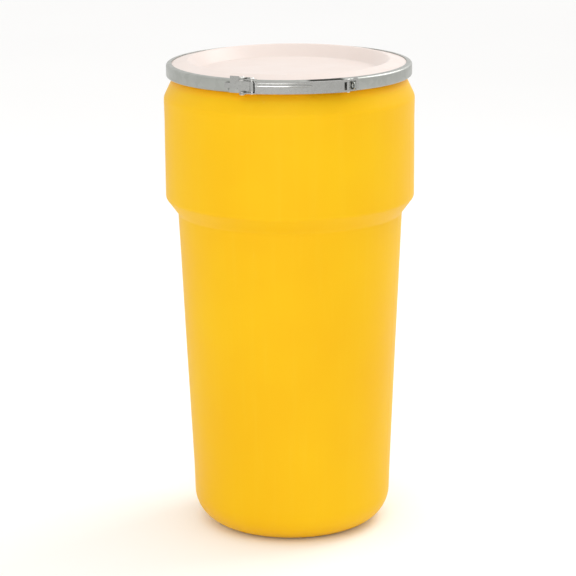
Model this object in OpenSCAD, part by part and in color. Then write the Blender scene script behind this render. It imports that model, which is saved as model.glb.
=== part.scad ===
// Open-head plastic salvage drum with a dished lid and a lever-lock closing ring.
// Millimetres, +Z up, origin at the centre of the base, front of the drum towards -Y.
// Bearings are degrees round the drum, 0 at the front and positive towards +X.

/* [Drum] */
// Radius that the tapered barrel would have at floor level
base_r = 166.5; // [164:0.5:168]
// Radius at the top of the tapered barrel
waist_r = 191; // [188:0.5:192]
// Height where the barrel steps out to the collar
step_z = 546; // [540:1:552]
// Outer radius of the collar
collar_r = 211.2; // [210.8:0.2:211.6]
// Height where the collar turns in to the shoulder
shoulder_z = 743.6; // [742.6:0.2:744.2]
// Wall thickness
wall = 4.5; // [4:0.1:4.8]
// Radius of the rounded bottom corner
heel_r = 56; // [46:1:60]
// Height of the pushed-up centre of the base
push_up = 7; // [4:0.5:9]

/* [Lid] */
// Radius of the lid's skirt
lid_r = 203.8; // [203.6:0.1:204]
// Height of the rounded crown of the lid
crown_z = 806.5; // [805.5:0.5:807.5]
// Radius of the crown
crown_r = 169; // [166:1:171]
// Height of the dished floor
dish_z = 786; // [785:0.5:790]
// Thickness of the dished floor
lid_t = 3; // [2.4:0.1:3.2]

/* [Closing ring] */
// Outer radius of the ring
ring_r = 206.4; // [206.2:0.1:206.5]
// Underside of the ring
ring_z = 779.2; // [779:0.1:779.3]
// Thickness of the ring's steel
ring_t = 1.3; // [1.1:0.05:1.4]
// Bearing where the ring's left end stops
gap_left = -25.6; // [-26.5:0.1:-25]
// Bearing where the ring's right end starts
gap_right = -17; // [-18:0.1:-16]

/* [Closure] */
// Bearing of the lever's fixed pivot
pivot_a = -20.6; // [-20.8:0.1:-20.4]
// Distance of the pivot from the drum's axis
pivot_r = 213.9; // [213.8:0.1:214.1]
// Radius of the lever's bowed outer face
bow_r = 262; // [255:1:270]
// Thickness of the lever, link and hasp
strap_t = 1.5; // [1.3:0.05:1.6]
// Radius of the rivet shanks
rivet_r = 2.4; // [2.2:0.05:2.5]
// Bearing of the hasp's pin
hasp_a = 26.2; // [26:0.1:26.3]
// Radius of the hasp's pin
pin_r = 1.8; // [1.6:0.05:1.9]
// Radius of the padlock hole in the staple
lock_r = 3.2; // [2.6:0.1:3.3]

/* [Hidden] */
$fn = 96;

yellow = [0.98, 0.78, 0.10];
white = [0.95, 0.93, 0.90];
zinc = [0.66, 0.67, 0.65];
black = [0.12, 0.12, 0.12];

run = 0.05;   // radial clearance of a pin in its bore
gap = 0.3;    // air left between parts that move apart
over = 1;     // how far a cut runs past a face, or a bar runs into the one it joins
lap = 0.2;    // degrees by which plates that join overlap
edge_r = 1;   // rounding of the small moulded edges

// Drum: slopes of the wall, as the direction of its outward normal
wall_a = -atan((waist_r - base_r) / step_z);
step_a = -36.4;
cone_a = 25.6;
step_top_z = step_z + (collar_r - waist_r) / tan(-step_a);
push_r = [60, 86];           // inner and outer radius of the base's raised cone
bead_z = [780.7, 785];       // bottom and top of the bead that the ring grips
bead_r = 203;
side_r = [8, 10, 22];        // roundings at the waist, at the step's top and at the shoulder
lip_r = [188, 192.5];
lip_z = 791.7;

// Ring: top edge slopes with the lid's rim
rim_a = 81;                  // direction of the rim's outward normal
ring_in = [196, 197];        // inner radius of the ring's lower and upper leg
ring_lip_z = 801.2;          // height of the upper leg's inner edge
ring_edge_r = [2.5, 4];      // roundings of the lower and upper edge

// Lid: height of the rim under the ring, at radius r
function ring_top(r) = ring_lip_z - (r - ring_in[1]) / tan(rim_a);
function rim_z(r) = ring_top(r) - ring_t / sin(rim_a) - gap;
rim_r = 188;                 // radius where the rim turns up to the crown
rim_out_a = 90 - atan((crown_z - rim_z(rim_r)) / (rim_r - crown_r));
dish_a = 135.7;              // direction of the dished wall's upward normal
dish_r = crown_r - (crown_z - dish_z) / tan(dish_a - 90);
skirt_z = 787.7;
skirt_t = 3;
skirt_edge_r = 2;            // rounding where the skirt turns to the rim
dish_edge_r = 6;             // roundings at the top and foot of the dished wall
channel_z = 795.5;           // roof of the channel that holds the gasket
plug_r = [183, 186.2];
plug_z = 788;
gasket_r = [186.6, 199];
gasket_t = 3.5;

// Closure: heights shared by its parts
lever_z = [780.6, 800];
mid_z = (lever_z[0] + lever_z[1]) / 2;
hinge_z = [lever_z[0], 804.1];  // outer faces of the lever's two ears, the upper one stepped up
ear_z = [hinge_z[0] - gap - strap_t, hinge_z[1] + gap];  // undersides of the bracket's ears
plate_r = ring_r + 1.2;      // outer face of the plates welded to the ring
plate_z = [782.5, 798];      // bottom and top of those plates
link_reach = 16;             // distance between the two pivots along the ring
over_centre = 2.6;           // how far the link's pivot lies inside the lever's
link_pivot = [link_reach, over_centre];
anchor_a = -42;              // bearing of the anchor plate's left end
bracket_a = [-18, -6];       // bearings of the ends of the bracket's plate
back_a = [-22.1, -17.2];     // the same for the tall piece behind the pivot
tongue_a = -22;              // bearing where the tongue over the ring's gap joins that piece
tongue_lift = 0.4;           // how far the tongue stays above the ring's underside
root_a = [-21.7, -19.2];     // bearings of the roots of the bracket's ears
bracket_ear_r = 5;
ear_r = 4.6;                 // radius of the rounded ends of the lever's ears
ear_side = -2.6;             // outer edge of the ears beside the link's pivot
ear_tip = [-0.6, 5.2];       // outer and inner edge of their far ends
ear_end = 9;                 // how far the ears run past the link's pivot
ear_step = 5.2;              // how far past that pivot the upper ear steps down
washer_r = 3.4;              // collar on the inner end of each pivot rivet
washer_t = 1;
washer_gap = 0.2;
pivot_head = [4, 1.4, 2.4];  // radius, lower height and upper height of the pivot's heads
link_head = [3.8, 1.6, 2.8]; // the same for the link's rivet
pin_head = [2.8, 1.6, 2];    // the same for the hasp's pin
eye_t = strap_t - 0.1;       // wall of the eyes of the link and the hasp
bow_a = 3;                   // bearing where the lever's bow comes nearest to the ring
bow_out = 213.5;             // radius of the lever's outer face there
web_a = [-14.8, 26.2];       // bearings of the ends of the lever's web
web_out = [1, 3.2];          // how far outside bow_out those ends lie
web_trim = 0.4;              // degrees by which the web stops short of its right end
leg_trim = 2.6;              // degrees by which the legs stop short of it
leg_depth = 5.3;             // depth of the lever's channel
rib_z = [793.1, 797.5];      // heights of the two half-round ribs pressed into the lever
rib_r = 1.5;
rib_in = 0.4;                // how far the ribs' centres lie inside the lever's face
rib_root = 0.6;              // how far the ribs reach in from their centres
rib_trim = 1;                // degrees from the web's left end to the ribs
rib_end = 9.6;               // bearing of their right ends
pin_d = bow_out + 0.5;       // distance of the hasp's pin from the drum's axis
hook_a = [-29.4, -28.98];    // bearings of the link's hook
wide_a = [-26.7, -22.3];     // bearings of the ends of the link's wide plate
wide_z = [786.5, 807.5];     // bottom and top of that plate
wide_cut = 8;                // radius of its lower right corner
link_r = plate_r + 2.3;      // inner face of the link's plates
link_z = [784.3, 800.4];     // bottom and top of the strap between the rivets
link_tail = 8.3;             // how far the strap runs past the lever's pivot
hook_z = [787, 796];
lip_a = [-28.4, -28];        // bearings of the anchor plate's lip
lip_h = 1.9;
lip_gap = 0.3;               // degrees between the lip and the bracket's tongue
staple_a = 28.4;             // bearing of the staple's tab
staple_ends = [-4, 4.5];     // bearings of the ends of the staple's plate, from the tab
tab_t = 2.2;
tab_r = 6.4;                 // radius of the tab's rounded outer end
slot_x = [-2.5, 7.1];        // ends of the hasp's slot from the tab, with room to swing off it
slot_gap = 0.6;              // air above and below the tab in that slot
lock_d = 216;                // distance of the padlock hole from the drum's axis
hasp_z = [781, 799.6];
hasp_face = 211;             // inner face of the hasp's plate
hasp_x = [-4.3, 6.8];        // left end and corner centres of the hasp's plate, from the tab
hasp_corner = 5.2;           // radius of those corners
hasp_arm = 3;                // how far the arm to the knuckle runs left of the plate
thumb_z = 802.5;             // top of the rounded thumb tab
knuckle_z = [783.8, 796.8];  // ends of the notch between the lever's two knuckles
notch_x = [-7.5, 12.5];      // left and right end of that notch, from the hasp's pin

// n + 1 points on an arc about c
function arc(c, r, a0, a1, n) =
    [for (i = [0:n]) let (a = a0 + (a1 - a0) * i / n) c + r * [cos(a), sin(a)]];

// Rounded corner at p where the outward normal turns from a0 to a1, inset by w
function corner(p, a0, a1, r, w = 0, n = 8) =
    let (n0 = [cos(a0), sin(a0)], n1 = [cos(a1), sin(a1)], s = sign(a1 - a0),
         c = p - s * r * (n0 + n1) / (1 + n0 * n1))
    arc(c, s * r - w, a0, a1, n);

// Height of the shoulder's cone at radius r, inset by w
function cone_z(r, w) = shoulder_z - (w + (r - collar_r) * cos(cone_a)) / sin(cone_a);

// Side of the drum in section from the base to the shoulder, inset by w
function side(w) = concat(
    corner([base_r, 0], -90, wall_a, heel_r, w, 14),
    corner([waist_r, step_z], wall_a, step_a, side_r[0], w, 6),
    corner([collar_r, step_top_z], step_a, 0, side_r[1], w, 8),
    corner([collar_r, shoulder_z], 0, cone_a, side_r[2], w, 8)
);

function reverse(v) = [for (i = [len(v) - 1:-1:0]) v[i]];

// Bearing in the frame of the lever's bow of a point at bearing a and radius r
bow_shift = bow_r - bow_out;
function bow_bearing(a, r) = atan2(r * sin(a - bow_a), r * cos(a - bow_a) + bow_shift);

module at(bearing, r = 0) rotate([0, 0, bearing]) translate([0, -r, 0]) children();

// Bent bar of thickness t and height h, from bearing a0 to a1
module bar(r, t, z, h, a0, a1)
    rotate_extrude(angle = a1 - a0, start = a0 - 90) translate([r, z]) square([t, h]);

module rod(r, z0, z1) translate([0, 0, z0]) cylinder(r = r, h = z1 - z0);

// Domed rivet head of height h that stands on height z and points up or down
module head(r, h, z, up = 1)
    translate([0, 0, z]) mirror([0, 0, up > 0 ? 0 : 1])
        rotate_extrude() polygon(concat(
            [[0, 0], [r, 0]],
            [for (a = [0:15:90]) [r * cos(a), h * (0.25 + 0.75 * sin(a))]]
        ));

// Plate welded to the ring's outer face
module ring_plate(a0, a1, z = plate_z) bar(ring_r, plate_r - ring_r, z[0], z[1] - z[0], a0, a1);

module drum_body() color(yellow)
    rotate_extrude($fn = 180) polygon(concat(
        [[0, push_up], [push_r[0], push_up], [push_r[1], 0]],
        side(0),
        [[(collar_r - (bead_z[0] - shoulder_z) * tan(cone_a)), bead_z[0]]],
        corner([bead_r, bead_z[0]], -90, 0, edge_r, 0, 3),
        corner([bead_r, bead_z[1]], 0, 90, edge_r, 0, 3),
        corner([lip_r[1], bead_z[1]], 90, 0, edge_r, 0, 3),
        corner([lip_r[1], lip_z], 0, 90, edge_r, 0, 3),
        corner([lip_r[0], lip_z], 90, 180, edge_r, 0, 3),
        [[lip_r[0], cone_z(lip_r[0], wall)]],
        reverse(side(wall)),
        [[push_r[1] - 1, wall], [push_r[0] - 1, push_up + wall], [0, push_up + wall]]
    ));

// Top of the lid in section from the crown to the dished floor, inset by w
function dish(w) = concat(
    corner([crown_r, crown_z], rim_out_a, dish_a, dish_edge_r, w, 10),
    corner([dish_r, dish_z], dish_a, 90, dish_edge_r, w, 6)
);

module lid() color(white)
    rotate_extrude($fn = 180) polygon(concat(
        [[lid_r - skirt_t, skirt_z], [lid_r, skirt_z]],
        corner([lid_r, rim_z(lid_r)], 0, rim_a, skirt_edge_r, 0, 5),
        [[rim_r, rim_z(rim_r)]],
        dish(0),
        [[0, dish_z], [0, dish_z - lid_t]],
        reverse(dish(lid_t)),
        [[plug_r[0], rim_z(rim_r) - lid_t], [plug_r[0], plug_z + 1], [plug_r[0] + 1, plug_z],
         [plug_r[1] - 0.6, plug_z], [plug_r[1], plug_z + 1],
         [plug_r[1], channel_z], [lid_r - skirt_t, channel_z]]
    ));

module lid_gasket() color(black)
    rotate_extrude($fn = 180) polygon(concat(
        [[gasket_r[0], channel_z]],
        corner([gasket_r[0], channel_z - gasket_t], 180, 270, edge_r, 0, 3),
        corner([gasket_r[1], channel_z - gasket_t], 270, 360, edge_r, 0, 3),
        [[gasket_r[1], channel_z]]
    ));

// The ring in section, inset by w
function ring_side(w) = concat(
    corner([ring_r, ring_z], -90, 0, ring_edge_r[0], w, 5),
    corner([ring_r, ring_top(ring_r)], 0, rim_a, ring_edge_r[1], w, 7)
);

module ring_band() color(zinc)
    rotate_extrude(angle = 360 + gap_left - gap_right, start = gap_right - 90, $fn = 180)
        polygon(concat(
            [[ring_in[0], ring_z]],
            ring_side(0),
            [[ring_in[1], ring_lip_z], [ring_in[1], ring_lip_z - ring_t]],
            reverse(ring_side(ring_t)),
            [[ring_in[0], ring_z + ring_t]]
        ));

// Plate on the ring's left end, with the lip that the link's hook catches
module anchor_plate() color(zinc) {
    ring_plate(anchor_a, lip_a[1]);
    bar(ring_r, plate_r - ring_r + lip_h, hook_z[0] - over, hook_z[1] - hook_z[0] + over,
        lip_a[0], lip_a[1]);
}

// Plate on the ring's right end: two ears carry the lever, and a tongue covers the ring's gap
module pivot_bracket() color(zinc) difference() {
    union() {
        ring_plate(bracket_a[0], bracket_a[1]);
        ring_plate(back_a[0], back_a[1], [ear_z[0], ear_z[1] + strap_t]);
        ring_plate(lip_a[1] + lip_gap, tongue_a, [ring_z + tongue_lift, plate_z[1]]);
        for (z = ear_z) {
            at(pivot_a, pivot_r) rod(bracket_ear_r, z, z + strap_t);
            bar(ring_r, pivot_r - ring_r - over, z, strap_t, root_a[0], root_a[1]);
        }
    }
    at(pivot_a, pivot_r) rod(rivet_r, ear_z[0] - over, ear_z[1] + strap_t + over);
}

// Two short rivets, one through each pair of ears, with the link free to pass between them
module pivot_rivets() color(zinc) at(pivot_a, pivot_r) {
    middle = (hinge_z[0] + hinge_z[1]) / 2;
    inside = hinge_z[1] - middle - strap_t - washer_gap;
    outside = hinge_z[1] - middle + gap + strap_t;
    for (up = [0, 1]) translate([0, 0, middle]) mirror([0, 0, 1 - up]) {
        rod(rivet_r, inside - washer_t, outside);
        rod(washer_r, inside - washer_t, inside);
        head(pivot_head[0], pivot_head[1 + up], outside);
    }
}

// Ear of the lever in plan, about its pivot
module ear_plan() difference() {
    union() {
        circle(ear_r);
        translate(link_pivot) circle(ear_r);
        polygon([[0, -ear_r], [link_reach, ear_side], [link_reach + ear_end, ear_tip[0]],
                 [link_reach + ear_end - over, ear_tip[1]],
                 [link_reach, over_centre + ear_r], [0, ear_r]]);
    }
    circle(rivet_r + run);
    translate(link_pivot) circle(rivet_r);
}

// Half-round rib on the bow's outer face with ball ends, at height z
module rib(z, from, to) {
    r = bow_r - rib_in;
    rotate_extrude(angle = to - from, start = from - 90) translate([r, z]) intersection() {
        circle(rib_r);
        translate([-rib_root, -rib_r]) square(2 * rib_r);
    }
    for (a = [from, to]) at(a, r) translate([0, 0, z]) sphere(rib_r);
}

// Part of an ear between the distances from and to, at height z and of thickness t
module ear(from, to, z, t = strap_t) translate([0, 0, z]) linear_extrude(t) intersection() {
    half = over_centre + ear_r + over;
    ear_plan();
    translate([from, -half]) square([to - from, 2 * half]);
}

module lever() color(zinc) {
    a0 = bow_bearing(web_a[0], bow_out + web_out[0]);
    a1 = bow_bearing(web_a[1], bow_out + web_out[1]);
    low = lever_z[0];
    high = lever_z[1];
    start_x = -ear_r - over;
    step_x = link_reach + ear_step;
    end_x = link_reach + ear_end;
    leg_z = high - strap_t;
    difference() {
        union() {
            at(pivot_a, pivot_r) {
                ear(start_x, end_x, low);
                ear(start_x, step_x + strap_t, hinge_z[1] - strap_t);
                ear(step_x, step_x + strap_t, leg_z, hinge_z[1] - leg_z);
                ear(step_x, end_x, leg_z);
            }
            at(bow_a, -bow_shift) {
                bar(bow_r - strap_t, strap_t, low, high - low, a0, a1 - web_trim);
                for (z = [low, leg_z])
                    bar(bow_r - leg_depth, leg_depth, z, strap_t, a0 - lap, a1 - leg_trim);
                for (z = rib_z) rib(z, a0 + rib_trim, bow_bearing(rib_end, bow_out));
            }
            at(hasp_a, pin_d) rod(pin_r + strap_t, low, high);
        }
        at(pivot_a, pivot_r) rod(rivet_r + run, low - over, hinge_z[1] + over);
        at(hasp_a, pin_d) {
            rod(pin_r, low - over, high + over);
            translate([notch_x[0], -2 * leg_depth, knuckle_z[0]])
                cube([notch_x[1] - notch_x[0], 4 * leg_depth, knuckle_z[1] - knuckle_z[0]]);
        }
    }
}

// Link: eye on its rivet, strap between the pivot rivets, wide plate, and a hook at its left end
module link() color(zinc) {
    at(pivot_a, pivot_r) difference() {
        union() {
            translate([link_pivot[0], link_pivot[1], 0]) rod(rivet_r + run + eye_t, link_z[0], link_z[1]);
            translate([-link_tail, over_centre - strap_t / 2, link_z[0]])
                cube([link_reach + link_tail, strap_t, link_z[1] - link_z[0]]);
        }
        translate([link_pivot[0], link_pivot[1], 0]) rod(rivet_r + run, link_z[0] - over, link_z[1] + over);
    }
    difference() {
        bar(link_r, strap_t, wide_z[0], wide_z[1] - wide_z[0], wide_a[0], wide_a[1]);
        at(wide_a[1], link_r) translate([-wide_cut, wide_cut, wide_z[0]]) rotate([90, 0, 0])
            linear_extrude(2 * wide_cut) difference() {
                translate([0, -over]) square(wide_cut + over);
                translate([0, wide_cut]) circle(wide_cut);
            }
    }
    bar(link_r, strap_t, hook_z[0], hook_z[1] - hook_z[0], hook_a[0], wide_a[0] + lap);
    bar(plate_r + gap, link_r - plate_r, hook_z[0], hook_z[1] - hook_z[0], hook_a[0], hook_a[1]);
}

module link_rivet() color(zinc) at(pivot_a, pivot_r) translate([link_pivot[0], link_pivot[1], 0]) {
    rod(rivet_r, hinge_z[0], hinge_z[1]);
    head(link_head[0], link_head[2], hinge_z[1]);
    head(link_head[0], link_head[1], hinge_z[0], -1);
}

// Hasp plate as seen from the front, with x from the staple's tab
module hasp_plan() difference() {
    union() {
        translate([hasp_x[0], hasp_z[0]]) square([hasp_x[1] - hasp_x[0], hasp_z[1] - hasp_z[0]]);
        for (z = [hasp_z[0] + hasp_corner, thumb_z - hasp_corner])
            translate([hasp_x[1], z]) circle(hasp_corner);
        translate([hasp_x[1], hasp_z[0] + hasp_corner])
            square([hasp_corner, thumb_z - hasp_z[0] - 2 * hasp_corner]);
    }
    translate([slot_x[0], mid_z - tab_r - slot_gap])
        square([slot_x[1] - slot_x[0], 2 * (tab_r + slot_gap)]);
}

// Hasp: middle knuckle on the lever's end and a plate with a slot over the staple's tab
module hasp() color(zinc) {
    low = knuckle_z[0] + gap;
    high = knuckle_z[1] - gap;
    difference() {
        union() {
            at(hasp_a, pin_d) rod(pin_r + run + eye_t, low, high);
            at(staple_a) {
                translate([hasp_x[0] - hasp_arm, -hasp_face - strap_t, low])
                    cube([hasp_arm + over, strap_t, high - low]);
                translate([0, -hasp_face, 0]) rotate([90, 0, 0]) linear_extrude(strap_t) hasp_plan();
            }
        }
        at(hasp_a, pin_d) rod(pin_r + run, low - over, high + over);
    }
}

module hasp_pin() color(zinc) at(hasp_a, pin_d) {
    rod(pin_r, lever_z[0], lever_z[1]);
    head(pin_head[0], pin_head[2], lever_z[1]);
    head(pin_head[0], pin_head[1], lever_z[0], -1);
}

// Staple: plate welded to the ring and a tab with the padlock hole
module staple() color(zinc) {
    ring_plate(staple_a + staple_ends[0], staple_a + staple_ends[1]);
    at(staple_a) difference() {
        translate([-tab_t / 2, 0, mid_z]) rotate([0, 90, 0]) linear_extrude(tab_t) {
            translate([-tab_r, -lock_d]) square([2 * tab_r, lock_d - (plate_r + ring_r) / 2]);
            translate([0, -lock_d]) circle(tab_r);
        }
        translate([-tab_t, -lock_d, mid_z]) rotate([0, 90, 0]) cylinder(r = lock_r, h = 2 * tab_t);
    }
}

drum_body();
lid();
lid_gasket();
ring_band();
anchor_plate();
pivot_bracket();
pivot_rivets();
lever();
link();
link_rivet();
hasp();
hasp_pin();
staple();
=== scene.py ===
import math

import bmesh
import bpy
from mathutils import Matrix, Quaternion, Vector, noise


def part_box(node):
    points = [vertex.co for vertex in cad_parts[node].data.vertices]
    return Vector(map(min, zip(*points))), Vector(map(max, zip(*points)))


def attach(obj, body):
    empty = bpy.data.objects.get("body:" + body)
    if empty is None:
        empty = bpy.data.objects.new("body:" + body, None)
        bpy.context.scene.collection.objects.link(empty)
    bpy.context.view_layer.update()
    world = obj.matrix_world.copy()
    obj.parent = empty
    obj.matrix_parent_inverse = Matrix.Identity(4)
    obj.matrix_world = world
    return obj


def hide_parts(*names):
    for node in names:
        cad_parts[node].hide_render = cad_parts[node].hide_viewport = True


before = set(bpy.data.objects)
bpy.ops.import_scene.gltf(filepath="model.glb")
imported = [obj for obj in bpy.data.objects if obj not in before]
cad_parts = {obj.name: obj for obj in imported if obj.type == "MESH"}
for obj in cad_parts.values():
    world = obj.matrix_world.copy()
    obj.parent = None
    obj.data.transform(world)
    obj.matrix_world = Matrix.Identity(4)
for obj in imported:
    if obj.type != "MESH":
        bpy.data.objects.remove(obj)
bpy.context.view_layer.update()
scene = bpy.context.scene
MM = 0.001

# ---------------------------------------------------------------- sizes from the frame (metres)
_, body_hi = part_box("drum_body")
lid_lo, lid_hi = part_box("lid")
band_lo, band_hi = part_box("ring_band")
_, gasket_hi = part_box("lid_gasket")

COLLAR_R = body_hi.x
LIP_Z = body_hi.z
LID_R = lid_hi.x
RING_R = band_hi.x
RING_BOTTOM = band_lo.z
RING_TOP = band_hi.z

WALL = 4.5 * MM
BASE_R, WAIST_R = 166.5 * MM, 191 * MM
STEP_Z, SHOULDER_Z = 546 * MM, 743.6 * MM
WALL_A = -math.degrees(math.atan((WAIST_R - BASE_R) / STEP_Z))
STEP_A, CONE_A, RIM_A = -36.4, 25.6, 81
STEP_TOP_Z = STEP_Z + (COLLAR_R - WAIST_R) / math.tan(math.radians(-STEP_A))
HEEL_R = 56 * MM
PUSH_UP = 7 * MM
BEAD_R, BEAD_Z = 203 * MM, (780.7 * MM, 785 * MM)
LIP_R = (188 * MM, 192.5 * MM)
PARTING = (72, 252)          # bearings of the mould's parting lines
GAP = (-25.6, -17)           # bearings of the ring's two ends


# ---------------------------------------------------------------- outlines
def direction(a):
    return Vector((math.cos(math.radians(a)), math.sin(math.radians(a))))


def corner(p, a0, a1, r, w=0.0, n=8):
    """Points of a rounded corner at p where the outward normal turns from a0 to a1, inset by w."""
    s = 1 if a1 > a0 else -1
    n0, n1 = direction(a0), direction(a1)
    c = Vector(p) - (n0 + n1) * (s * r / (1 + n0.dot(n1)))
    return [tuple(c + direction(a0 + (a1 - a0) * i / n) * (s * r - w)) for i in range(n + 1)]


def filled(points, step):
    """The same outline with extra points, so that no stretch is longer than step."""
    out = []
    for p, q in zip(points, points[1:]):
        n = max(1, math.ceil((Vector(q) - Vector(p)).length / step))
        out += [tuple(Vector(p).lerp(Vector(q), i / n)) for i in range(n)]
    return out + [points[-1]]


def revolve(name, outline, bearings, closed=True, shift=None):
    """Mesh swept round the Z axis from an outline of (radius, height), through the given bearings."""
    mesh = bpy.data.meshes.new(name)
    bm = bmesh.new()
    rows = []
    for r, z in outline:
        if r < 1e-6:
            rows.append([bm.verts.new((0, 0, z))] * len(bearings))
            continue
        row = []
        for b in bearings:
            d = shift(b, r, z) if shift else 0.0
            a = math.radians(b)
            row.append(bm.verts.new(((r + d) * math.sin(a), -(r + d) * math.cos(a), z)))
        rows.append(row)
    n = len(bearings)
    joins = [(i, i + 1) for i in range(n - 1)] + ([(n - 1, 0)] if closed else [])
    m = len(rows)
    for k in range(m):
        low, high = rows[k], rows[(k + 1) % m]
        for i, j in joins:
            corners = [low[i], low[j], high[j], high[i]]
            unique = list(dict.fromkeys(corners))
            if len(unique) > 2:
                bm.faces.new(unique)
    if not closed:
        bm.faces.new([row[0] for row in rows][::-1])
        bm.faces.new([row[-1] for row in rows])
    bmesh.ops.recalc_face_normals(bm, faces=bm.faces)
    bm.to_mesh(mesh)
    bm.free()
    obj = bpy.data.objects.new(name, mesh)
    scene.collection.objects.link(obj)
    return obj


def smooth(obj, angle=35):
    """Smooth shading, with edges sharper than the angle kept crisp."""
    mesh = obj.data
    mesh.shade_smooth()
    bm = bmesh.new()
    bm.from_mesh(mesh)
    for e in bm.edges:
        e.smooth = not (len(e.link_faces) == 2 and e.calc_face_angle() > math.radians(angle))
    bm.to_mesh(mesh)
    bm.free()


def turn(n, around=(), width=2.4, steps=8):
    """Bearings for a full turn, closer together near the ones in around."""
    out = {round(i * 360 / n, 4) for i in range(n)}
    for a in around:
        out = {b for b in out if abs(b - a) > width / 2}
        out |= {round(a - width / 2 + width * i / steps, 4) for i in range(steps + 1)}
    return sorted(out)


# ---------------------------------------------------------------- materials
class Nodes:
    """Short calls for building a material's node tree."""

    def __init__(self, name):
        self.material = bpy.data.materials.new(name)
        self.material.use_nodes = True
        self.tree = self.material.node_tree
        self.tree.nodes.clear()
        self.shader = self.add("ShaderNodeBsdfPrincipled")
        out = self.add("ShaderNodeOutputMaterial")
        self.link(self.shader.outputs[0], out.inputs["Surface"])
        self.place = self.add("ShaderNodeTexCoord").outputs["Object"]

    def add(self, kind, **settings):
        node = self.tree.nodes.new(kind)
        for k, v in settings.items():
            setattr(node, k, v)
        return node

    def link(self, a, b):
        self.tree.links.new(a, b)

    def stretched(self, scale):
        mapping = self.add("ShaderNodeMapping")
        mapping.inputs["Scale"].default_value = scale
        self.link(self.place, mapping.inputs["Vector"])
        return mapping.outputs[0]

    def noise(self, scale, detail=3.0, rough=0.5, where=None):
        node = self.add("ShaderNodeTexNoise")
        node.inputs["Scale"].default_value = scale
        node.inputs["Detail"].default_value = detail
        node.inputs["Roughness"].default_value = rough
        self.link(where or self.place, node.inputs["Vector"])
        return node.outputs["Fac"]

    def voronoi(self, scale):
        """A random colour for each cell."""
        node = self.add("ShaderNodeTexVoronoi")
        node.inputs["Scale"].default_value = scale
        self.link(self.place, node.inputs["Vector"])
        return node.outputs["Color"]

    def ramp(self, value, stops):
        node = self.add("ShaderNodeValToRGB")
        while len(node.color_ramp.elements) < len(stops):
            node.color_ramp.elements.new(1)
        for e, (at, colour) in zip(node.color_ramp.elements, stops):
            e.position = at
            e.color = (*colour, 1) if len(colour) == 3 else colour
        self.link(value, node.inputs[0])
        return node.outputs[0]

    def range(self, value, lo, hi, to_lo, to_hi):
        node = self.add("ShaderNodeMapRange")
        for i, v in enumerate((lo, hi, to_lo, to_hi)):
            node.inputs[i + 1].default_value = v
        self.link(value, node.inputs[0])
        return node.outputs[0]

    def math(self, operation, a, b):
        node = self.add("ShaderNodeMath", operation=operation)
        for i, v in enumerate((a, b)):
            if isinstance(v, (int, float)):
                node.inputs[i].default_value = v
            else:
                self.link(v, node.inputs[i])
        return node.outputs[0]

    def mix(self, fac, a, b, blend="MIX"):
        node = self.add("ShaderNodeMix", data_type="RGBA", blend_type=blend)
        for socket, v in ((node.inputs[0], fac), (node.inputs[6], a), (node.inputs[7], b)):
            if isinstance(v, (int, float)):
                socket.default_value = v
            elif isinstance(v, tuple):
                socket.default_value = (*v, 1)
            else:
                self.link(v, socket)
        return node.outputs[2]

    def bump(self, height, strength, distance, under=None):
        node = self.add("ShaderNodeBump")
        node.inputs["Strength"].default_value = strength
        node.inputs["Distance"].default_value = distance
        self.link(height, node.inputs["Height"])
        if under:
            self.link(under, node.inputs["Normal"])
        return node.outputs[0]

    def set(self, **values):
        for k, v in values.items():
            socket = self.shader.inputs[k.replace("_", " ")]
            if isinstance(v, bpy.types.NodeSocket):
                self.link(v, socket)
            else:
                socket.default_value = v


def coordinates(n):
    split = n.add("ShaderNodeSeparateXYZ")
    n.link(n.place, split.inputs[0])
    return split.outputs


def yellow_hdpe():
    n = Nodes("yellow_hdpe")
    cloudy = n.noise(5, 2)
    colour = n.ramp(cloudy, [(0.3, (0.79, 0.435, 0.002)), (0.7, (0.81, 0.475, 0.003))])
    flow = n.noise(1, 4, 0.6, n.stretched((90, 90, 2.2)))
    colour = n.mix(n.range(flow, 0.52, 0.78, 0, 0.2), colour, (0.82, 0.52, 0.02))
    scuffs = n.noise(1, 6, 0.7, n.stretched((55, 55, 9)))
    colour = n.mix(n.range(scuffs, 0.66, 0.78, 0, 0.25), colour, (0.82, 0.56, 0.08))
    height = coordinates(n)[2]
    colour = n.mix(n.range(height, 0.0, 0.05, 0.2, 0), colour, (0.88, 0.46, 0.01))
    # Painted shade: the neck under the ring turns deeper orange towards the ring, in place of the ring's
    # shadow, and fades out just below the ring's bottom edge.
    painted_neck_shade = n.math("MULTIPLY", n.range(height, 0.764, 0.777, 0, 0.8), n.range(height, 0.778, 0.7795, 1, 0))
    colour = n.mix(painted_neck_shade, colour, (0.95, 0.41, 0.004))
    rough = n.math("ADD", n.range(cloudy, 0.3, 0.7, 0.40, 0.48), n.range(scuffs, 0.6, 0.76, 0, 0.14))
    peel = n.bump(n.noise(420, 2), 0.18, 0.0004)
    waves = n.bump(n.noise(14, 1.5), 0.25, 0.004, peel)
    marks = n.bump(flow, 0.12, 0.0008, waves)
    n.set(Base_Color=colour, Roughness=rough, Normal=marks, IOR=1.5, Specular_IOR_Level=0.14)
    n.set(Subsurface_Weight=0.06, Subsurface_Scale=0.004)
    n.shader.inputs["Subsurface Radius"].default_value = (1.0, 0.5, 0.1)
    return n.material


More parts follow.
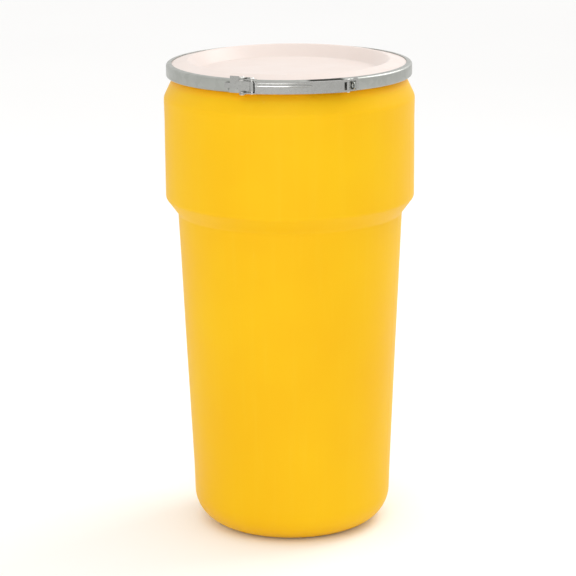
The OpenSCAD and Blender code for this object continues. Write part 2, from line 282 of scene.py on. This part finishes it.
def white_hdpe():
    n = Nodes("white_hdpe")
    cloudy = n.noise(7, 3)
    colour = n.ramp(cloudy, [(0.3, (0.70, 0.605, 0.56)), (0.7, (0.74, 0.65, 0.605))])
    specks = n.noise(1, 5, 0.7, n.stretched((60, 60, 60)))
    colour = n.mix(n.range(specks, 0.64, 0.78, 0, 0.25), colour, (0.72, 0.67, 0.63))
    rough = n.range(n.noise(18, 4), 0.3, 0.7, 0.32, 0.46)
    peel = n.bump(n.noise(500, 2), 0.15, 0.0003)
    waves = n.bump(n.noise(16, 1.5), 0.2, 0.003, peel)
    n.set(Base_Color=colour, Roughness=rough, Normal=waves, IOR=1.52, Specular_IOR_Level=0.3)
    n.set(Subsurface_Weight=0.15, Subsurface_Scale=0.004)
    n.shader.inputs["Subsurface Radius"].default_value = (1.0, 0.85, 0.75)
    return n.material


def rubber():
    n = Nodes("gasket_rubber")
    pores = n.noise(900, 3)
    colour = n.ramp(n.noise(60, 4), [(0.3, (0.018, 0.018, 0.019)), (0.7, (0.035, 0.034, 0.033))])
    n.set(Base_Color=colour, Roughness=n.range(pores, 0.3, 0.7, 0.6, 0.78))
    n.set(Normal=n.bump(pores, 0.3, 0.0002))
    return n.material


def cylinder_place(n):
    """Bearing round the drum in radians, and height."""
    x, y, z = coordinates(n)
    return n.math("ARCTAN2", x, n.math("MULTIPLY", y, -1.0)), z


def between(n, bearing, start, end, fade):
    """1 between two bearings in degrees, fading out beyond them."""
    rise = n.range(bearing, math.radians(start - fade), math.radians(start), 0, 1)
    return n.math("MULTIPLY", rise, n.range(bearing, math.radians(end), math.radians(end + fade), 1, 0))


def painted_crevice_shade(n):
    """1 along the ring's two edges behind the lever's free half: painted shade for the dark crevice there.
    """
    bearing, z = cylinder_place(n)
    edges = n.math("MAXIMUM", n.range(z, 0.7965, 0.798, 0, 1), n.range(z, 0.781, 0.7822, 1, 0))
    return n.math("MULTIPLY", between(n, bearing, 10, 24, 2.5), edges)


def painted_rib_highlights(n):
    """1 along the crests of the lever's two pressed ribs, where a painted highlight brightens them."""
    bearing, z = cylinder_place(n)
    crests = [
        n.range(n.math("ABSOLUTE", n.math("SUBTRACT", z, height), 0), 0.0005, 0.0013, shine, 0)
        for height, shine in ((0.7934, 0.9), (0.7978, 0.3))
    ]
    return n.math("MULTIPLY", between(n, bearing, -12, -2, 4), n.math("MAXIMUM", *crests))


def steel(name, light, dark, spangle, rough_lo, rough_hi, crevice_shade=False, rib_highlights=False):
    """Zinc-coated steel: crystals of slightly different grey, fine rolling lines and dull patches."""
    n = Nodes(name)
    cells = n.voronoi(spangle)
    tone = n.add("ShaderNodeRGBToBW")
    n.link(cells, tone.inputs[0])
    clouds = n.noise(35, 4)
    shade = n.math("ADD", n.math("MULTIPLY", tone.outputs[0], 0.45), n.math("MULTIPLY", clouds, 0.55))
    colour = n.ramp(shade, [(0.25, dark), (0.75, light)])
    lines = n.noise(1, 2, 0.5, n.stretched((40, 40, 1800)))
    rough = n.math("ADD", n.range(shade, 0.2, 0.8, rough_hi, rough_lo), n.range(lines, 0.4, 0.7, 0, 0.06))
    if crevice_shade:
        # Painted shade: the ring's edges behind the lever are darkened nearly to black and dulled.
        shade_mask = painted_crevice_shade(n)
        colour = n.mix(n.math("MULTIPLY", shade_mask, 0.93), colour, (0.03, 0.03, 0.025))
        rough = n.math("ADD", rough, n.math("MULTIPLY", shade_mask, 0.4))
    if rib_highlights:
        # Painted highlight: the rib crests are lightened to near white.
        colour = n.mix(painted_rib_highlights(n), colour, (0.96, 0.96, 0.94))
    grain = n.bump(lines, 0.12, 0.0002)
    dents = n.bump(n.noise(60, 2), 0.2, 0.0008, grain)
    n.set(Base_Color=colour, Metallic=1.0, Roughness=rough, Normal=dents)
    return n.material


MATERIALS = {
    "yellow_hdpe": yellow_hdpe(),
    "white_hdpe": white_hdpe(),
    "gasket_rubber": rubber(),
    "galvanised_steel": steel("galvanised_steel", (0.41, 0.42, 0.395), (0.36, 0.37, 0.345), 110, 0.28, 0.38,
                              crevice_shade=True),
    "lever_steel": steel("lever_steel", (0.39, 0.39, 0.375), (0.35, 0.35, 0.335), 200, 0.20, 0.28,
                         rib_highlights=True),
    "rivet_steel": steel("rivet_steel", (0.80, 0.79, 0.76), (0.66, 0.65, 0.62), 300, 0.14, 0.22),
}


def dress(obj, slot_name):
    obj.data.materials.clear()
    obj.data.materials.append(MATERIALS[slot_name])


def stand_for(obj, node, body, slot_name):
    """The piece replaces a CAD node, rides with its body and wears its material."""
    dress(obj, slot_name)
    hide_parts(node)
    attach(obj, body)
    return obj


# ---------------------------------------------------------------- drum
def side(w):
    return (
        corner((BASE_R, 0), -90, WALL_A, HEEL_R, w, 20)
        + corner((WAIST_R, STEP_Z), WALL_A, STEP_A, 8 * MM, w, 8)
        + corner((COLLAR_R, STEP_TOP_Z), STEP_A, 0, 10 * MM, w, 10)
        + corner((COLLAR_R, SHOULDER_Z), 0, CONE_A, 22 * MM, w, 12)
    )


def cone_z(r, w):
    a = math.radians(CONE_A)
    return SHOULDER_Z - (w + (r - COLLAR_R) * math.cos(a)) / math.sin(a)


def drum_shift(bearing, r, z):
    """Blow-moulded unevenness of the side wall, never outwards, and the parting lines' low ridge."""
    fade = min(1, max(0, (z - 0.05) / 0.05)) * min(1, max(0, (SHOULDER_Z - z) / 0.04))
    a = math.radians(bearing)
    place = Vector((math.sin(a) * 1.3, math.cos(a) * 1.3, z * 5.0))
    sink = -0.9 * MM * (0.5 + 0.5 * noise.noise(place)) * fade
    ridge = sum(math.exp(-((bearing - p) / 0.28) ** 2) for p in PARTING) * 0.35 * MM * min(1, z / 0.03)
    return sink + ridge * fade - 0.36 * MM * fade


def make_drum():
    neck_out = COLLAR_R - (BEAD_Z[0] - SHOULDER_Z) * math.tan(math.radians(CONE_A))
    outside = filled(side(0) + [(neck_out, BEAD_Z[0])], 12 * MM)
    outline = (
        filled([(0, PUSH_UP), (52 * MM, PUSH_UP)], 13 * MM)
        + corner((60 * MM, PUSH_UP), -90, -105, 14 * MM, 0, 4)
        + corner((86 * MM, 0), -105, -90, 14 * MM, 0, 4)
        + outside
        + corner((BEAD_R, BEAD_Z[0]), -90, 0, 1 * MM, 0, 4)
        + corner((BEAD_R, BEAD_Z[1]), 0, 90, 1 * MM, 0, 4)
        + corner((LIP_R[1], BEAD_Z[1]), 90, 0, 1 * MM, 0, 4)
        + corner((LIP_R[1], LIP_Z), 0, 90, 1 * MM, 0, 4)
        + corner((LIP_R[0], LIP_Z), 90, 180, 1 * MM, 0, 4)
        + [(LIP_R[0], cone_z(LIP_R[0], WALL))]
        + filled(side(WALL)[::-1], 12 * MM)
        + [(86 * MM, WALL), (59 * MM, PUSH_UP + WALL), (0, PUSH_UP + WALL)]
    )
    obj = revolve("drum_shell", outline, turn(240, PARTING), shift=drum_shift)
    smooth(obj, 40)
    return stand_for(obj, "drum_body", "drum", "yellow_hdpe")


# ---------------------------------------------------------------- lid
RING_T = 1.3 * MM
RING_IN = (196 * MM, 197 * MM)
CROWN = (169 * MM, lid_hi.z + 0.76 * MM)
DISH_Z = 786 * MM
DISH_A = 135.7
LID_T = 3 * MM
SKIRT_Z = lid_lo.z


def ring_top(r):
    return RING_TOP - (r - RING_IN[1]) / math.tan(math.radians(RIM_A))


def rim_z(r):
    return ring_top(r) - RING_T / math.sin(math.radians(RIM_A)) - 0.3 * MM


def make_lid():
    rim_r = 188 * MM
    out_a = 90 - math.degrees(math.atan((CROWN[1] - rim_z(rim_r)) / (rim_r - CROWN[0])))
    dish_r = CROWN[0] - (CROWN[1] - DISH_Z) / math.tan(math.radians(DISH_A - 90))

    def dish(w):
        return (
            corner(CROWN, out_a, DISH_A, 6 * MM, w, 14)
            + corner((dish_r, DISH_Z), DISH_A, 90, 6 * MM, w, 10)
        )

    skirt_in = LID_R - 3 * MM
    roof = gasket_hi.z
    outline = (
        corner((skirt_in, SKIRT_Z), -180, -90, 0.8 * MM, 0, 3)
        + corner((LID_R, SKIRT_Z), -90, 0, 0.8 * MM, 0, 3)
        + corner((LID_R, rim_z(LID_R)), 0, RIM_A, 2 * MM, 0, 8)
        + [(rim_r, rim_z(rim_r))]
        + filled(dish(0) + [(0, DISH_Z)], 12 * MM)
        + [(0, DISH_Z - LID_T)]
        + dish(LID_T)[::-1]
        + [(183 * MM, rim_z(rim_r) - LID_T), (183 * MM, 789 * MM), (184 * MM, 788 * MM),
           (185.6 * MM, 788 * MM), (186.2 * MM, 789 * MM), (186.2 * MM, roof), (skirt_in, roof)]
    )

    obj = revolve("lid_shell", outline, turn(220))
    smooth(obj, 40)
    return stand_for(obj, "lid", "lid", "white_hdpe")


# ---------------------------------------------------------------- closing ring
def make_band():
    bottom = RING_BOTTOM

    def section(w):
        return (
            corner((RING_R, bottom), -90, 0, 2.5 * MM, w, 6)
            + corner((RING_R, ring_top(RING_R)), 0, RIM_A, 4 * MM, w, 8)
        )

    outline = (
        corner((RING_IN[0], bottom), 180, 270, 0.5 * MM, 0, 3)
        + section(0)
        + corner((RING_IN[1], RING_TOP), RIM_A, 171, 0.6 * MM, 0, 4)
        + [(RING_IN[1], RING_TOP - RING_T)]
        + section(RING_T)[::-1]
        + [(RING_IN[0], bottom + RING_T)]
    )
    span = 360 + GAP[0] - GAP[1]
    count = 220
    bearings = [GAP[1] + span * i / count for i in range(count + 1)]
    obj = revolve("ring_hoop", outline, bearings, closed=False)
    smooth(obj, 40)
    return stand_for(obj, "ring_band", "ring", "galvanised_steel")


# ---------------------------------------------------------------- closure hardware
def softened(node, body, slot_name, width, name):
    """A copy of a CAD node with its sheet edges rounded over."""
    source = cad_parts[node].data
    bm = bmesh.new()
    bm.from_mesh(source)
    bmesh.ops.remove_doubles(bm, verts=bm.verts, dist=2e-6)
    bmesh.ops.dissolve_limit(bm, angle_limit=math.radians(1.0), verts=bm.verts, edges=bm.edges)
    sharp = [e for e in bm.edges if len(e.link_faces) == 2 and e.calc_face_angle() > math.radians(35)]
    bmesh.ops.bevel(bm, geom=sharp, offset=width, segments=2, profile=0.6, affect="EDGES",
                    clamp_overlap=True)
    bmesh.ops.recalc_face_normals(bm, faces=bm.faces)
    mesh = bpy.data.meshes.new(name)
    bm.to_mesh(mesh)
    bm.free()
    obj = bpy.data.objects.new(name, mesh)
    scene.collection.objects.link(obj)
    smooth(obj, 50)
    flat = obj.modifiers.new("flat_faces", "WEIGHTED_NORMAL")
    flat.keep_sharp = True
    return stand_for(obj, node, body, slot_name)


HARDWARE = (
    ("anchor_plate", "ring", "galvanised_steel", 0.2),
    ("pivot_bracket", "ring", "galvanised_steel", 0.25),
    ("staple", "ring", "galvanised_steel", 0.3),
    ("pivot_rivets", "ring", "rivet_steel", 0.15),
    ("lever", "lever", "lever_steel", 0.3),
    ("link", "link", "lever_steel", 0.25),
    ("link_rivet", "lever", "rivet_steel", 0.15),
    ("hasp", "hasp", "lever_steel", 0.3),
    ("hasp_pin", "lever", "rivet_steel", 0.15),
)


# ---------------------------------------------------------------- studio
SKY = (1.02, 0.97)           # brightness of the room's left and right side


def area_light(name, place, target, size, power):
    data = bpy.data.lights.new(name, "AREA")
    data.shape = "RECTANGLE"
    data.size, data.size_y = size
    data.energy = power
    obj = bpy.data.objects.new(name, data)
    obj.location = place
    obj.rotation_euler = (Vector(target) - Vector(place)).to_track_quat("-Z", "Y").to_euler()
    scene.collection.objects.link(obj)


def make_studio():
    scene.view_settings.view_transform = "Standard"
    world = bpy.data.worlds.new("studio")
    world.use_nodes = True
    tree = world.node_tree
    sky = tree.nodes["Background"]
    split = tree.nodes.new("ShaderNodeSeparateXYZ")
    tree.links.new(tree.nodes.new("ShaderNodeTexCoord").outputs["Generated"], split.inputs[0])
    sides = tree.nodes.new("ShaderNodeMapRange")
    for i, v in enumerate((-1, 1, *SKY)):
        sides.inputs[i + 1].default_value = v
    tree.links.new(split.outputs[0], sides.inputs[0])
    tree.links.new(sides.outputs[0], sky.inputs["Strength"])
    sky.inputs["Color"].default_value = (1.0, 0.995, 0.985, 1)
    scene.world = world
    area_light("key", (-0.9, -3.9, 1.5), (0, 0, 0.6), (3.2, 1.2), 24)
    area_light("dish", (1.5, 1.0, 2.4), (0, 0, 0.78), (1.5, 1.5), 26)
    area_light("strip", (-0.2, -2.1, 2.6), (0, 0, 0.75), (1.2, 0.9), 6)

    mesh = bpy.data.meshes.new("floor")
    half = 30
    corners = [(-half, -half, 0), (half, -half, 0), (half, half, 0), (-half, half, 0)]
    mesh.from_pydata(corners, [], [(0, 1, 2, 3)])
    floor = bpy.data.objects.new("floor", mesh)
    scene.collection.objects.link(floor)
    n = Nodes("floor_paper")
    n.set(Base_Color=n.ramp(n.noise(0.8, 2), [(0.3, (0.965, 0.965, 0.965)), (0.7, (0.975, 0.975, 0.975))]))
    n.set(Roughness=0.9)
    mesh.materials.append(n.material)


def make_camera():
    data = bpy.data.cameras.new("camera")
    data.sensor_width = 36
    data.lens = 154.75
    obj = bpy.data.objects.new("camera", data)
    obj.location = (0, -4.120, 1.440)
    pitch, yaw, roll = 0.24525, 0.00111, -0.0076
    look = (Quaternion((0, 0, 1), yaw) @ Quaternion((1, 0, 0), math.pi / 2 - pitch)
            @ Quaternion((0, 0, 1), roll))
    obj.rotation_mode = "QUATERNION"
    obj.rotation_quaternion = look
    scene.collection.objects.link(obj)
    scene.camera = obj


make_camera()
dress(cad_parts["lid_gasket"], "gasket_rubber")
make_studio()
make_drum()
make_lid()
make_band()
for node_name, body_name, slot, edge in HARDWARE:
    softened(node_name, body_name, slot, edge * MM, node_name + "_sheet")
